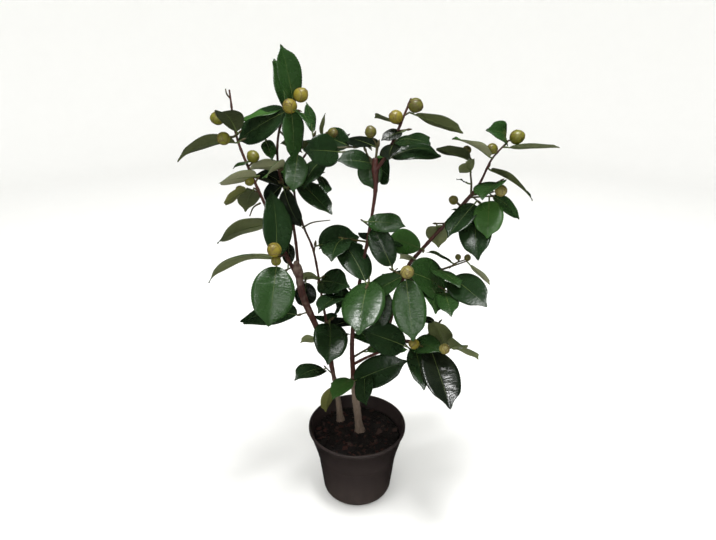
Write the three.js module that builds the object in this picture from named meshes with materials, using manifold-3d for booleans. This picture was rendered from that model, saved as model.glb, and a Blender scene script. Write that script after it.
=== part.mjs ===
// Camellia shrub in a nursery pot: three stems from the soil or low down, boughs that fork from
// them, and open clusters of large leaves. Millimetres, +Z up, origin under the middle of the pot.

import * as THREE from "three";
import { ConvexGeometry } from "three/addons/geometries/ConvexGeometry.js";
import { mergeVertices } from "three/addons/utils/BufferGeometryUtils.js";
import Module from "manifold-3d";

const wasm = await Module();
wasm.setup();

// Driving dimensions
const POT_HEIGHT = 120;
const RIM_RADIUS = 75;
const RIM_LIP = 1.2; // how far the rolled rim stands out from the collar
const RIM_BAND = 4;
const COLLAR_FOOT = 71; // height of the shoulder under the collar
const COLLAR_RADIUS = 62;
const SHOULDER = 0.9; // step in under the collar, which lets empty pots stack
const BASE_RADIUS = 54;
const CORNER_RADIUS = 9;
const WALL = 1.6;
const POT_SIDES = 24;
const DRAIN_HOLES = 6;
const DRAIN_RADIUS = 4.5;
const DRAIN_CIRCLE = 36;
const SOIL_LEVEL = 102;
const GAP = 0.3; // clearance kept between neighbouring pieces
const RING_STEP = 42; // length of limb between two rings
const FLARE_REACH = 7; // height over which the root flare fades
const PETIOLE = 7;
const LEAF_SHARE = 0.57; // width of a leaf as a share of its length
const LEAF_THICKNESS = 7; // a leaf with the air that its curl and fold take up
const LEAF_TAPER = 0.2; // how much narrower a leaf is towards its tip
const HEART = 6; // half thickness of the twigs and buds in the middle of a mass
const BESIDE = 5; // how far from the middle of its limb a shoot's own thickness starts

const POT_COLOUR = 0x4a403c;
const SOIL_COLOUR = 0x1d1512;
const BARK_COLOUR = 0x5b4a3c;
const SHOOT_COLOUR = 0x5a2f26;
const LEAF_COLOUR = 0x1f3d1e;

const UP = new THREE.Vector3(0, 0, 1);

// Solids: closed three.js meshes turned into solids that can be joined and cut

function solidOf(geometry) {
  const bare = geometry.clone();
  bare.deleteAttribute("normal");
  bare.deleteAttribute("uv");
  const merged = mergeVertices(bare, 1e-4);
  return new wasm.Manifold(
    new wasm.Mesh({
      numProp: 3,
      vertProperties: merged.attributes.position.array,
      triVerts: new Uint32Array(merged.index.array),
    }),
  );
}

function geometryOf(solid) {
  const mesh = solid.getMesh();
  const geometry = new THREE.BufferGeometry();
  geometry.setAttribute("position", new THREE.BufferAttribute(mesh.vertProperties, 3));
  geometry.setIndex(new THREE.BufferAttribute(mesh.triVerts, 1));
  return geometry;
}

// The largest of the bodies that a cut leaves: slivers beyond the cutter are dropped.
function largestBody(solid) {
  return solid.decompose().reduce((a, b) => (b.volume() > a.volume() ? b : a));
}

// What is left of a solid once it keeps the gap to every cutter near it.
function clearOf(solid, cutters) {
  return largestBody(cutters.reduce((left, cutter) => left.subtract(cutter), solid));
}

function pieceOf(name, solid, colour, roughness) {
  const material = new THREE.MeshStandardMaterial({ color: colour, roughness, metalness: 0 });
  const mesh = new THREE.Mesh(geometryOf(solid), material);
  mesh.name = name;
  return mesh;
}

// Pot: a moulded shell with a rolled rim, a tapered collar and a rounded foot

function arc(centreX, centreY, radius, from, to, steps) {
  return Array.from({ length: steps + 1 }, (_, i) => {
    const angle = from + ((to - from) * i) / steps;
    return new THREE.Vector2(
      centreX + radius * Math.cos(angle),
      centreY + radius * Math.sin(angle),
    );
  });
}

// Inside radius of the pot at a height, which the soil follows too. The wall turns outwards at the
// shoulder.
function insideRadius(height) {
  const shoulder = COLLAR_RADIUS - SHOULDER - WALL;
  const rim = RIM_RADIUS - RIM_LIP - WALL;
  return height > COLLAR_FOOT
    ? THREE.MathUtils.mapLinear(height, COLLAR_FOOT, POT_HEIGHT, shoulder, rim)
    : THREE.MathUtils.mapLinear(height, 0, COLLAR_FOOT, BASE_RADIUS - WALL, shoulder);
}

// A profile of radius and height spun round the pot's upright axis.
function spun(profile) {
  const geometry = new THREE.LatheGeometry(profile, POT_SIDES);
  geometry.rotateX(Math.PI / 2);
  return solidOf(geometry);
}

function potSolid() {
  const outside = [
    new THREE.Vector2(0, 0),
    ...arc(BASE_RADIUS - CORNER_RADIUS, CORNER_RADIUS, CORNER_RADIUS, -Math.PI / 2, 0, 2),
    new THREE.Vector2(COLLAR_RADIUS - SHOULDER, COLLAR_FOOT - SHOULDER),
    new THREE.Vector2(COLLAR_RADIUS, COLLAR_FOOT),
    new THREE.Vector2(RIM_RADIUS - RIM_LIP, POT_HEIGHT - RIM_BAND - RIM_LIP),
    new THREE.Vector2(RIM_RADIUS, POT_HEIGHT - RIM_BAND),
    new THREE.Vector2(RIM_RADIUS, POT_HEIGHT),
  ];
  const inside = [
    new THREE.Vector2(insideRadius(POT_HEIGHT), POT_HEIGHT),
    new THREE.Vector2(insideRadius(COLLAR_FOOT), COLLAR_FOOT),
    new THREE.Vector2(insideRadius(CORNER_RADIUS), CORNER_RADIUS),
    new THREE.Vector2(BASE_RADIUS - CORNER_RADIUS, WALL),
    new THREE.Vector2(0, WALL),
  ];
  const shell = spun([...outside, ...inside]);
  const holes = Array.from({ length: DRAIN_HOLES }, (_, i) => {
    const angle = (2 * Math.PI * (i + 0.5)) / DRAIN_HOLES;
    const hole = new THREE.CylinderGeometry(DRAIN_RADIUS, DRAIN_RADIUS, 4 * WALL, 6);
    hole.rotateX(Math.PI / 2);
    hole.translate(DRAIN_CIRCLE * Math.cos(angle), DRAIN_CIRCLE * Math.sin(angle), 0);
    return solidOf(hole);
  });
  return holes.reduce((left, hole) => left.subtract(hole), shell);
}

// Soil: fills the pot to the soil level, a little lower at the wall
function soilSolid() {
  const floor = WALL + GAP;
  const edge = SOIL_LEVEL - 2;
  return spun([
    new THREE.Vector2(0, floor),
    new THREE.Vector2(BASE_RADIUS - CORNER_RADIUS - GAP, floor),
    new THREE.Vector2(insideRadius(CORNER_RADIUS) - GAP, CORNER_RADIUS),
    new THREE.Vector2(insideRadius(COLLAR_FOOT) - GAP, COLLAR_FOOT),
    new THREE.Vector2(insideRadius(edge) - GAP, edge),
    new THREE.Vector2(insideRadius(edge) - GAP - 8, SOIL_LEVEL),
    new THREE.Vector2(0, SOIL_LEVEL),
  ]);
}

// Stems and boughs. Each runs through its points, and its radius follows the list of radii, which
// are spread evenly from foot to tip. One that starts in the soil stands on a flat cut there, with
// a root flare. Any other starts inside the limb that carries it and is cut round that one.

const FOOT = SOIL_LEVEL + GAP;

const LIMBS = {
  stem_middle: {
    points: [[5, 4, FOOT], [0, 4, 142], [-5, 1, 200], [-7, -3, 270], [2, -10, 355],
      [16, -12, 440], [24, -10, 500], [23, -8, 530]],
    radii: [5.8, 5.6, 3.8, 3.2, 2.7, 2.3, 3.4],
    flare: 3,
    sides: 8,
  },
  stem_left: {
    points: [[-26, 30, FOOT], [-33, 25, 170], [-47, 15, 250], [-61, 9, 292], [-76, 3, 340],
      [-81, -2, 385]],
    radii: [5.2, 4, 3.4, 3.4, 4.6, 5.4, 5.2],
    flare: 2,
    sides: 8,
  },
  stem_thin: {
    points: [[-35, 22, 190], [-42, 17, 265], [-50, 16, 328], [-61, 20, 403], [-73, 22, 436],
      [-84, 26, 486], [-75, 28, 520], [-62, 28, 540]],
    radii: [2.2, 1.8, 1.4],
    sides: 5,
  },
  bough_left_outer: {
    points: [[-80, 0, 365], [-95, -10, 408], [-104, -14, 440], [-116, -18, 477],
      [-132, -20, 522], [-146, -16, 565], [-151, -10, 618]],
    radii: [3.1, 2.4, 2, 1.7, 1.2],
    sides: 5,
  },
  bough_left_inner: {
    points: [[-80, 0, 380], [-83, 2, 430], [-90, 6, 478], [-99, 8, 509], [-101, 8, 541],
      [-95, 5, 573], [-84, 2, 595]],
    radii: [2.3, 2, 1.7, 1.5],
    sides: 5,
  },
  bough_front_left: {
    points: [[-94, -8, 400], [-94, -30, 415], [-97, -70, 426]],
    radii: [2, 1.5],
    sides: 5,
  },
  bough_right: {
    points: [[-3, 3, 168], [13, 9, 184], [31, 14, 210], [44, 18, 267], [59, 20, 340],
      [74, 20, 382]],
    radii: [3.6, 3.2, 2.9],
    sides: 5,
  },
  bough_right_outer: {
    points: [[74, 20, 382], [92, 20, 405], [123, 20, 443], [152, 20, 480]],
    radii: [2.8, 2.5, 2.6],
    sides: 5,
  },
  bough_right_upper: {
    points: [[152, 20, 480], [163, 20, 498], [175, 20, 528], [195, 20, 553]],
    radii: [1.9, 1.5, 1.2],
    sides: 5,
  },
  bough_middle_right: {
    points: [[24, -9, 520], [37, -12, 541], [49, -14, 569], [65, -10, 608]],
    radii: [2.4, 1.9, 1.4],
    sides: 5,
  },
  bough_lower_right: {
    points: [[-5, 0, 228], [15, -6, 244], [40, -14, 261], [68, -20, 280], [95, -28, 278],
      [120, -34, 273]],
    radii: [2.4, 1.9, 1.5],
    sides: 5,
  },
  bough_front_middle: {
    points: [[0, -8, 340], [6, -25, 362], [16, -42, 382]],
    radii: [2, 1.5],
    sides: 5,
  },
  bough_front_right: {
    points: [[62, 20, 350], [66, -10, 374], [64, -42, 388]],
    radii: [2, 1.5],
    sides: 5,
  },
};

function curveOf(limb) {
  return new THREE.CatmullRomCurve3(limb.points.map((point) => new THREE.Vector3(...point)));
}

function radiusAt(limb, along) {
  const place = along * (limb.radii.length - 1);
  const low = Math.min(Math.floor(place), limb.radii.length - 2);
  return THREE.MathUtils.lerp(limb.radii[low], limb.radii[low + 1], place - low);
}

// A closed cylinder bent along the limb's curve, swollen all round by grow.
function limbSolid(limb, grow = 0) {
  const curve = curveOf(limb);
  const length = curve.getLength();
  const steps = Math.max(3, Math.round(length / RING_STEP));
  const frames = curve.computeFrenetFrames(steps, false);
  const geometry = new THREE.CylinderGeometry(1, 1, 1, limb.sides, steps);
  const vertices = geometry.attributes.position;
  for (let i = 0; i < vertices.count; i++) {
    const along = vertices.getY(i) + 0.5;
    const ring = Math.round(along * steps);
    const flare = limb.flare ? limb.flare * Math.exp((-along * length) / FLARE_REACH) : 0;
    const radius = radiusAt(limb, along) + flare + grow;
    const centre = curve.getPointAt(along);
    centre.addScaledVector(frames.tangents[ring], grow * (2 * along - 1));
    centre.addScaledVector(frames.binormals[ring], vertices.getX(i) * radius);
    centre.addScaledVector(frames.normals[ring], vertices.getZ(i) * radius);
    if (limb.flare && ring === 0) centre.z = FOOT - grow;
    vertices.setXYZ(i, centre.x, centre.y, centre.z);
  }
  return solidOf(geometry);
}

// Masses of foliage. Each is a list of shoots, and a shoot is the limb that it grows from, how far
// along that limb, where the shoot ends, and its leaves from the lowest to the one at its end. A
// leaf is its heading and pitch in degrees, its length, and its roll in degrees.

const MASSES = {
  foliage_upper_left: [
    ["bough_left_outer", 0.77, [-141, -16, 559], [[-160, -15, 75, -30]]],
    ["bough_left_outer", 0.8, [-143, -18, 568], [[-95, 30, 60, -5]]],
  ],
  foliage_upper_centre: [
    ["stem_thin", 0.9, [-52, 32, 508], [[-75, -15, 50, 30]]],
    ["stem_thin", 1, [-56, 27, 555], [[115, 65, 40, -15]]],
    ["stem_thin", 1, [-46, 34, 554], [[-75, 55, 35, -55]]],
    ["stem_thin", 1, [-6, 25, 543], [[130, 5, 55, 55]]],
    ["stem_thin", 1, [-42, 30, 529], [[-115, -25, 60, 0]]],
    ["stem_thin", 1, [-63, 35, 536], [[-125, 20, 50, -25]]],
    ["stem_thin", 0.86, [-83, 28, 503], [[-40, -30, 70, -10]]],
    ["stem_thin", 1, [-19, 18, 538], [[-140, 10, 70, 75]]],
  ],
  foliage_upper_middle: [
    ["stem_middle", 1, [26, -8, 549], [[120, 0, 70, 10]]],
    ["stem_middle", 0.99, [24, 1, 527], [[-150, 10, 50, 45]]],
    ["stem_middle", 0.97, [12, 3, 541], [[-45, -75, 55, -45]]],
    ["stem_middle", 0.99, [19, -3, 531], [[65, -30, 65, -90]]],
  ],
  foliage_middle_right: [
    ["bough_middle_right", 0.2, [39, -14, 538], [[35, -5, 85, -25]]],
    ["bough_middle_right", 0.5, [46, -13, 557], [[-60, 5, 65, -20], [-100, -10, 50, -20]]],
    ["bough_middle_right", 0.62, [52, -12, 578], [[115, 0, 60, -30]]],
    ["bough_middle_right", 0.78, [63, -14, 592], [[5, -20, 65, 30]]],
    ["bough_middle_right", 0.58, [60, -11, 571], [[-150, -15, 30, 30]]],
  ],
  foliage_upper_right: [
    ["bough_right_upper", 0.64, [176, 18, 530], [[-155, 25, 65, -5]]],
    ["bough_right_upper", 0.95, [194, 24, 551], [[-135, 20, 55, 65]]],
    ["bough_right_upper", 0.95, [187, 14, 545], [[0, 0, 75, 20]]],
    ["bough_right_upper", 0.42, [172, 24, 516], [[-60, -15, 80, 40]]],
  ],
  foliage_fork: [
    ["bough_right_outer", 1, [149, 22, 526], [
      [-170, 20, 15, 0], [-110, 25, 50, -45], [-145, 20, 60, -25],
    ]],
  ],
  foliage_right: [
    ["bough_right_outer", 1, [173, 9, 487], [[-5, -40, 50, -35]]],
    ["bough_right_outer", 1, [160, 16, 474], [[-135, -30, 65, 0]]],
    ["bough_right_outer", 0.97, [174, 9, 482], [[-100, -45, 70, -5]]],
    ["bough_right_outer", 0.78, [161, 28, 454], [[-95, -30, 80, -15]]],
    ["bough_right_outer", 0.6, [107, 10, 444], [[75, -50, 60, 10]]],
    ["bough_right_outer", 1, [188, 18, 500], [[-120, -5, 65, -15]]],
  ],
  foliage_centre_right: [
    ["bough_right_outer", 0.25, [92, 14, 405], [[125, -5, 75, 55]]],
    ["bough_right_outer", 0.05, [86, -2, 394], [[120, -15, 45, -40]]],
    ["bough_right", 0.85, [137, 9, 385], [[-175, 25, 40, -5]]],
    ["bough_right", 0.85, [151, 8, 390], [[5, -45, 45, 25]]],
  ],
  foliage_centre: [
    ["stem_thin", 0.58, [-58, 18, 408], [[45, -5, 80, -55]]],
    ["stem_middle", 0.76, [-20, 18, 420], [[-100, -5, 65, -5]]],
    ["stem_middle", 0.81, [8, -22, 458], [[-20, 0, 50, -40]]],
  ],
  foliage_lower_right: [
    ["bough_front_right", 1, [64, -42, 398], [[170, -35, 65, 50], [40, -35, 95, -55]]],
    ["bough_right", 0.97, [118, -20, 360], [[-85, -15, 65, 35], [-90, -5, 60, -10]]],
    ["bough_right_outer", 0.05, [126, -6, 374], [[-65, 0, 65, 10], [-65, -5, 80, -30]]],
    ["bough_front_right", 0.95, [47, -45, 399], [[135, 55, 60, 45]]],
    ["bough_front_right", 1, [63, -42, 392], [[-80, -55, 80, -15]]],
  ],
  foliage_lower_centre: [
    ["stem_middle", 0.55, [-12, -8, 345], [[-120, 5, 70, -5]]],
    ["bough_front_middle", 1, [14, -49, 381], [[120, 25, 85, -5]]],
    ["bough_front_middle", 1, [16, -37, 385], [[-100, -25, 95, -5]]],
  ],
  foliage_middle_left: [
    ["stem_thin", 0.47, [-49, 11, 364], [[140, -20, 45, -45]]],
    ["stem_left", 0.88, [-74, 35, 352], [[-105, -80, 55, 20]]],
    ["stem_thin", 0.5, [-55, 20, 355], [[-55, 15, 75, -45]]],
  ],
  foliage_low_right: [
    ["bough_lower_right", 0.55, [76, -20, 277], [[-55, 15, 60, -30]]],
    ["bough_lower_right", 0.68, [80, -26, 278], [[-85, -15, 75, 5]]],
    ["bough_lower_right", 0.84, [101, -34, 280], [[-80, -20, 95, 5]]],
    ["bough_lower_right", 1, [132, -30, 275], [
      [-135, 60, 60, -25], [-75, 35, 45, 35], [30, -35, 60, 30],
    ]],
    ["bough_lower_right", 0.6, [72, -26, 273], [[-160, 30, 75, 60]]],
  ],
  foliage_low_centre: [
    ["stem_middle", 0.27, [13, 4, 216], [[-90, -15, 60, -35]]],
    ["stem_middle", 0.23, [-9, -6, 200], [[-10, 30, 90, -55]]],
  ],
  foliage_low_left: [
    ["stem_left", 0.53, [-57, 21, 260], [[140, -30, 40, -60]]],
    ["stem_left", 0.75, [-78, -6, 315], [[165, -15, 95, 10]]],
    ["stem_left", 0.64, [-39, 4, 300], [[-90, -25, 85, 15]]],
  ],
  foliage_base: [
    ["stem_left", 0.33, [-47, 20, 208], [[-125, 15, 70, 10]]],
    ["stem_middle", 0.22, [-7, 2, 205], [[-120, -5, 50, 5]]],
    ["stem_left", 0.28, [-36, 21, 180], [[155, -75, 55, -25]]],
  ],
  foliage_back_left: [
    ["bough_left_inner", 0.5, [-96, 60, 480], [
      [60, -10, 70, 0], [110, -5, 75, 0], [85, 10, 70, 0],
    ]],
  ],
  foliage_back_top: [
    ["stem_thin", 1, [-25, 75, 545], [[130, -10, 70, 0], [40, -15, 75, 0], [95, -15, 75, 0]]],
  ],
  foliage_back_middle: [
    ["stem_middle", 0.72, [18, 48, 405], [[150, -10, 75, 0], [30, -10, 75, 0], [85, -15, 80, 0]]],
  ],
  foliage_back_right: [
    ["bough_right", 0.85, [95, 70, 335], [[10, -15, 75, 0], [120, -15, 75, 0], [60, -10, 80, 0]]],
  ],
  foliage_back_low: [
    ["stem_middle", 0.33, [42, 50, 240], [[20, -10, 70, 0], [110, -15, 75, 0], [80, -20, 75, 0]]],
  ],
  foliage_back_lower_left: [
    ["stem_left", 0.58, [-45, 60, 262], [[60, -30, 70, 0], [50, -15, 70, 0], [100, -20, 80, 0]]],
  ],
  foliage_back_right_upper: [
    ["bough_right_outer", 0.9, [155, 62, 432], [
      [60, -20, 70, 0], [80, -15, 70, 0], [90, -25, 75, 0],
    ]],
  ],
  foliage_top: [
    ["bough_left_inner", 1, [-87, 3, 587], [[110, 50, 75, -35]]],
    ["bough_left_inner", 0.97, [-83, 10, 597], [[-165, -15, 60, 5]]],
    ["bough_left_inner", 1, [-79, -7, 601], [[-90, -80, 60, 45]]],
    ["bough_left_inner", 1, [-79, -8, 596], [[165, -30, 80, 55]]],
    ["bough_left_inner", 1, [-74, 6, 592], [[-70, -10, 50, 25]]],
    ["bough_left_inner", 0.86, [-73, -2, 546], [[-100, -55, 50, 15]]],
    ["bough_left_inner", 1, [-76, 0, 597], [[180, 80, 65, 45]]],
  ],
  foliage_inner_left: [
    ["bough_left_inner", 0.62, [-82, -6, 528], [[160, -10, 55, -35]]],
    ["bough_left_inner", 0.49, [-88, -5, 497], [[135, 5, 65, 5]]],
    ["bough_left_inner", 0.72, [-119, 28, 554], [[-70, -25, 40, -10]]],
    ["bough_left_inner", 0.51, [-95, 4, 501], [[125, -45, 60, 80]]],
    ["bough_left_inner", 0.54, [-97, 6, 499], [[-35, -60, 55, -75]]],
  ],
  foliage_left: [
    ["bough_left_outer", 0.65, [-125, -15, 536], [[-150, -15, 25, 0]]],
    ["bough_left_outer", 0.52, [-137, -13, 498], [[-115, -5, 45, -60]]],
    ["bough_left_outer", 0.53, [-128, -24, 502], [[120, -45, 55, -15]]],
    ["bough_left_outer", 0.57, [-122, -14, 515], [[-125, 5, 60, -40]]],
    ["bough_left_outer", 0.33, [-110, -10, 451], [[-140, -5, 75, -50]]],
  ],
  foliage_front_left: [
    ["bough_front_left", 1, [-94, -71, 429], [[-175, -20, 95, -30]]],
    ["bough_left_outer", 0.09, [-93, -11, 386], [[85, 65, 30, -10]]],
    ["bough_front_left", 1, [-99, -69, 420], [[100, 60, 85, -40]]],
    ["bough_front_left", 1, [-97, -74, 425], [[-100, -55, 85, 20]]],
  ],
};

function headingVector(heading, pitch) {
  const h = THREE.MathUtils.degToRad(heading);
  const p = THREE.MathUtils.degToRad(pitch);
  return new THREE.Vector3(Math.cos(p) * Math.cos(h), Math.cos(p) * Math.sin(h), Math.sin(p));
}

// A flat bipyramid with a leaf's outline, from the node on the shoot to the tip of the leaf.
function leafSolid(node, [heading, pitch, blade, roll], grow) {
  const length = PETIOLE + blade;
  const axis = headingVector(heading, pitch);
  const side = new THREE.Vector3().crossVectors(axis, UP).normalize();
  side.applyAxisAngle(axis, -THREE.MathUtils.degToRad(roll));
  const normal = new THREE.Vector3().crossVectors(side, axis);
  const geometry = new THREE.SphereGeometry(1, 6, 2);
  const vertices = geometry.attributes.position;
  for (let i = 0; i < vertices.count; i++) {
    const x = vertices.getX(i);
    const width = vertices.getZ(i) * (1 - LEAF_TAPER * x);
    const place = node.clone();
    place.addScaledVector(axis, length / 2 + x * (length / 2 + grow));
    place.addScaledVector(side, width * ((blade * LEAF_SHARE) / 2 + grow));
    place.addScaledVector(normal, vertices.getY(i) * (LEAF_THICKNESS / 2 + grow));
    vertices.setXYZ(i, place.x, place.y, place.z);
  }
  return solidOf(geometry);
}

// The twigs and buds in the middle of a mass, as one lump round the foot and the end of every
// shoot: a tetrahedron stands round each of these places.
function heartSolid(places, grow) {
  const reach = HEART + grow;
  const corners = places.flatMap((place) =>
    [[1, 1, 1], [1, -1, -1], [-1, 1, -1], [-1, -1, 1]].map((corner) =>
      new THREE.Vector3(...corner).multiplyScalar(reach).add(place),
    ),
  );
  return solidOf(new ConvexGeometry(corners));
}

function massSolid(shoots, grow = 0) {
  const places = [];
  const leaves = [];
  for (const [limb, along, end, leafList] of shoots) {
    const foot = curveOf(LIMBS[limb]).getPointAt(along);
    const tip = new THREE.Vector3(...end);
    const beside = foot.clone().add(tip.clone().sub(foot).setLength(BESIDE));
    places.push(beside, tip);
    leafList.forEach((leaf, i) => {
      const node = foot.clone().lerp(tip, (i + 1) / leafList.length);
      leaves.push(leafSolid(node, leaf, grow));
    });
  }
  return leaves.reduce((joined, leaf) => joined.add(leaf), heartSolid(places, grow));
}

// The shrub: each piece is cut clear of the pieces made before it

const shrub = new THREE.Group();
shrub.add(pieceOf("pot", potSolid(), POT_COLOUR, 0.6));
shrub.add(pieceOf("soil", soilSolid(), SOIL_COLOUR, 0.95));

const cutters = [];
for (const [name, limb] of Object.entries(LIMBS)) {
  const colour = name.startsWith("stem") ? BARK_COLOUR : SHOOT_COLOUR;
  shrub.add(pieceOf(name, clearOf(limbSolid(limb), cutters), colour, 0.85));
  cutters.push(limbSolid(limb, GAP));
}
for (const [name, shoots] of Object.entries(MASSES)) {
  shrub.add(pieceOf(name, clearOf(massSolid(shoots), cutters), LEAF_COLOUR, 0.35));
  cutters.push(massSolid(shoots, GAP));
}

export default shrub;
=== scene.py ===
"""Camellia shrub in a nursery pot, made in the order in which it is put together: the pot, the
potting mix, the stems and boughs, the green twigs, the leaves and the flower buds. Lengths in the
tables are millimetres in the frame of the part, +Z up, with the origin under the pot."""

import math
import random

import bpy
from mathutils import Matrix, Vector, noise
from mathutils.kdtree import KDTree


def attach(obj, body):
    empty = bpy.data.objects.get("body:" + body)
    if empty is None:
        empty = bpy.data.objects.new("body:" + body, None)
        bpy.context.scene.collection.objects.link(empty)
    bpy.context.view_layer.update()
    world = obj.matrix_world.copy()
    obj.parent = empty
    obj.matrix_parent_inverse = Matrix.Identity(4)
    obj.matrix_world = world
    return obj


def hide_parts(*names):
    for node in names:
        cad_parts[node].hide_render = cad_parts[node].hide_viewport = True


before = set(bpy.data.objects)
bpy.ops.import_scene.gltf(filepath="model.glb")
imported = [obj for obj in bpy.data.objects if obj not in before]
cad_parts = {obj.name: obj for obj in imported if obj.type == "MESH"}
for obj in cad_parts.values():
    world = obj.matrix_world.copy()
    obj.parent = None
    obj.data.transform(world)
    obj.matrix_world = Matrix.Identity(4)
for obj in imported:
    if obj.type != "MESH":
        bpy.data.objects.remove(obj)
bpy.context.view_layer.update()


# ---------------------------------------------------------------------------------------------
# Camera. It stands a little above the top of the shrub and 0.7 m in front of it, and looks down
# on it through a wide lens.

MM = 0.001
LOOK_DOWN = 23.6
bpy.ops.object.select_all(action="DESELECT")
bpy.ops.object.camera_add(
    location=(1.5 * MM, -700 * MM, 686 * MM), rotation=(math.radians(90 - LOOK_DOWN), 0, 0)
)
camera = bpy.context.object
camera.name = "camera"
camera.data.lens = 28
camera.data.sensor_width = 36
camera.data.clip_start = 0.01
bpy.context.scene.camera = camera
bpy.context.scene.view_settings.view_transform = "Standard"


# ---------------------------------------------------------------------------------------------
# Floor and light. A pale studio floor that runs up into a wall all round, a soft panel overhead
# as the main light, a narrow strip in front that draws the sheen on the leaves, and a weak fill.


def linear(hex_colour):
    """An sRGB colour such as "3b3431" as the linear colour that a shader takes."""
    parts = [int(hex_colour[i : i + 2], 16) / 255 for i in (0, 2, 4)]
    return (*[p / 12.92 if p < 0.04045 else ((p + 0.055) / 1.055) ** 2.4 for p in parts], 1)


def add_node(tree, kind, settings=None, inputs=None):
    """Adds a node, sets its settings, and sets or links its inputs by name or number."""
    made = tree.nodes.new(kind)
    for name, value in (settings or {}).items():
        setattr(made, name, value)
    for name, value in (inputs or {}).items():
        if isinstance(value, bpy.types.NodeSocket):
            tree.links.new(value, made.inputs[name])
        else:
            made.inputs[name].default_value = value
    return made


def new_material(name, colour, roughness):
    """A material with an even colour and roughness, and the tree and shader to build on."""
    material = bpy.data.materials.new(name)
    material.use_nodes = True
    shader = material.node_tree.nodes["Principled BSDF"]
    shader.inputs["Base Color"].default_value = linear(colour)
    shader.inputs["Roughness"].default_value = roughness
    return material, material.node_tree, shader


def object_place(tree):
    """The place on the piece, in metres, that a pattern is laid out by."""
    return add_node(tree, "ShaderNodeTexCoord").outputs["Object"]


def cloudy(tree, place, scale, detail):
    """A soft noise from 0 to 1, with a scale in features for each metre."""
    settings = {"Vector": place, "Scale": scale, "Detail": detail}
    return add_node(tree, "ShaderNodeTexNoise", inputs=settings).outputs["Fac"]


def between(tree, share, first, second):
    """A colour that runs from the first to the second as the share goes from 0 to 1."""
    colours = {0: share, 6: first, 7: second}
    return add_node(tree, "ShaderNodeMix", {"data_type": "RGBA"}, colours).outputs[2]


def spread(tree, value, to_min, to_max, from_min=0, from_max=1):
    """A value carried from one range to another."""
    limits = {"From Min": from_min, "From Max": from_max, "To Min": to_min, "To Max": to_max}
    return add_node(tree, "ShaderNodeMapRange", inputs={"Value": value, **limits}).outputs[0]


def calculated(tree, operation, first, second):
    """The result of a sum or a product of two values."""
    values = {0: first, 1: second}
    return add_node(tree, "ShaderNodeMath", {"operation": operation}, values).outputs[0]


def raised(tree, shader, height, strength, millimetres):
    """Gives the shader a relief that follows the height."""
    depth = {"Height": height, "Strength": strength, "Distance": millimetres * MM}
    bump = add_node(tree, "ShaderNodeBump", inputs=depth)
    tree.links.new(bump.outputs[0], shader.inputs["Normal"])


SIDES = 96


def drawn_up(name, profile):
    """A shell round the Z axis, left in edit mode: a disc, and then ring upon ring, through a
    profile of (radius, height) in millimetres."""
    radius, height = profile[0]
    bpy.ops.object.select_all(action="DESELECT")
    bpy.ops.mesh.primitive_circle_add(
        vertices=SIDES, radius=radius * MM, fill_type="TRIFAN", location=(0, 0, height * MM)
    )
    made = bpy.context.object
    made.name = name
    bpy.ops.object.transform_apply()
    bpy.ops.object.mode_set(mode="EDIT")
    bpy.ops.mesh.select_mode(type="EDGE")
    bpy.ops.mesh.select_all(action="SELECT")
    bpy.ops.mesh.region_to_loop()
    for next_radius, next_height in profile[1:]:
        move = {"value": (0, 0, (next_height - height) * MM)}
        bpy.ops.mesh.extrude_edges_move(TRANSFORM_OT_translate=move)
        wider = next_radius / radius
        bpy.ops.transform.resize(value=(wider, wider, 1), center_override=(0, 0, 0))
        radius, height = next_radius, next_height
    return made


def arc(centre_radius, centre_height, radius, start, end, steps):
    """Points of a round corner of a profile, with its angles in degrees."""
    angles = [math.radians(start + (end - start) * i / steps) for i in range(steps + 1)]
    return [
        (centre_radius + radius * math.cos(a), centre_height + radius * math.sin(a)) for a in angles
    ]


FLOOR_RADIUS = 2400
COVE_RADIUS = 700
WALL_TOP = 3300
# The floor turns up into the wall along a quarter circle.
cove = arc(FLOOR_RADIUS, COVE_RADIUS, COVE_RADIUS, -90, 0, 8)
studio = drawn_up("studio_floor", [*cove, (FLOOR_RADIUS + COVE_RADIUS, WALL_TOP)])
bpy.ops.object.mode_set(mode="OBJECT")
bpy.ops.object.shade_smooth()
# Studio paper: matt and nearly white, with a faint grain.
studio_paper, tree, shader = new_material("studio_paper", "f4f4f2", 0.9)
PAPER_GRAIN_MM = 60
grain = cloudy(tree, object_place(tree), 1000 / PAPER_GRAIN_MM, 3)
tone = between(tree, grain, linear("f3f3f1"), linear("f5f5f3"))
tree.links.new(tone, shader.inputs["Base Color"])
studio.data.materials.append(studio_paper)
# The paper and the air light the shrub, but only lamps show in its gloss.
studio.visible_glossy = False

LIGHTS = {
    # name: place in metres, size in metres, power in watts
    "overhead_panel": ((0.1, -0.2, 1.9), (0.5, 0.35), 28),
    "front_strip": ((-0.2, -1.7, 1.2), (0.2, 0.9), 7),
    "front_fill": ((-0.9, -1.7, 1.6), (1.6, 1.6), 8),
}
AIMED_AT = Vector((0, 0, 0.35))
for name, (place, size, power) in LIGHTS.items():
    bpy.ops.object.light_add(type="AREA", location=place)
    light = bpy.context.object
    light.name = name
    light.data.shape = "RECTANGLE"
    light.data.size, light.data.size_y = size
    light.data.energy = power
    towards = AIMED_AT - light.location
    light.rotation_euler = towards.to_track_quat("-Z", "Y").to_euler()
# The fill only lifts the shade: the sheen on the leaves comes from the other two.
bpy.data.objects["front_fill"].visible_glossy = False

world = bpy.data.worlds.new("studio_air")
bpy.context.scene.world = world
world.use_nodes = True
background = world.node_tree.nodes["Background"]
background.inputs["Color"].default_value = linear("ffffff")
background.inputs["Strength"].default_value = 1.0
world.cycles_visibility.glossy = False


# ---------------------------------------------------------------------------------------------
# Nursery pot: thin injection-moulded polypropylene with a tapered collar, a shoulder under it for
# stacking, a rolled rim and drain holes in the base.

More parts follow.
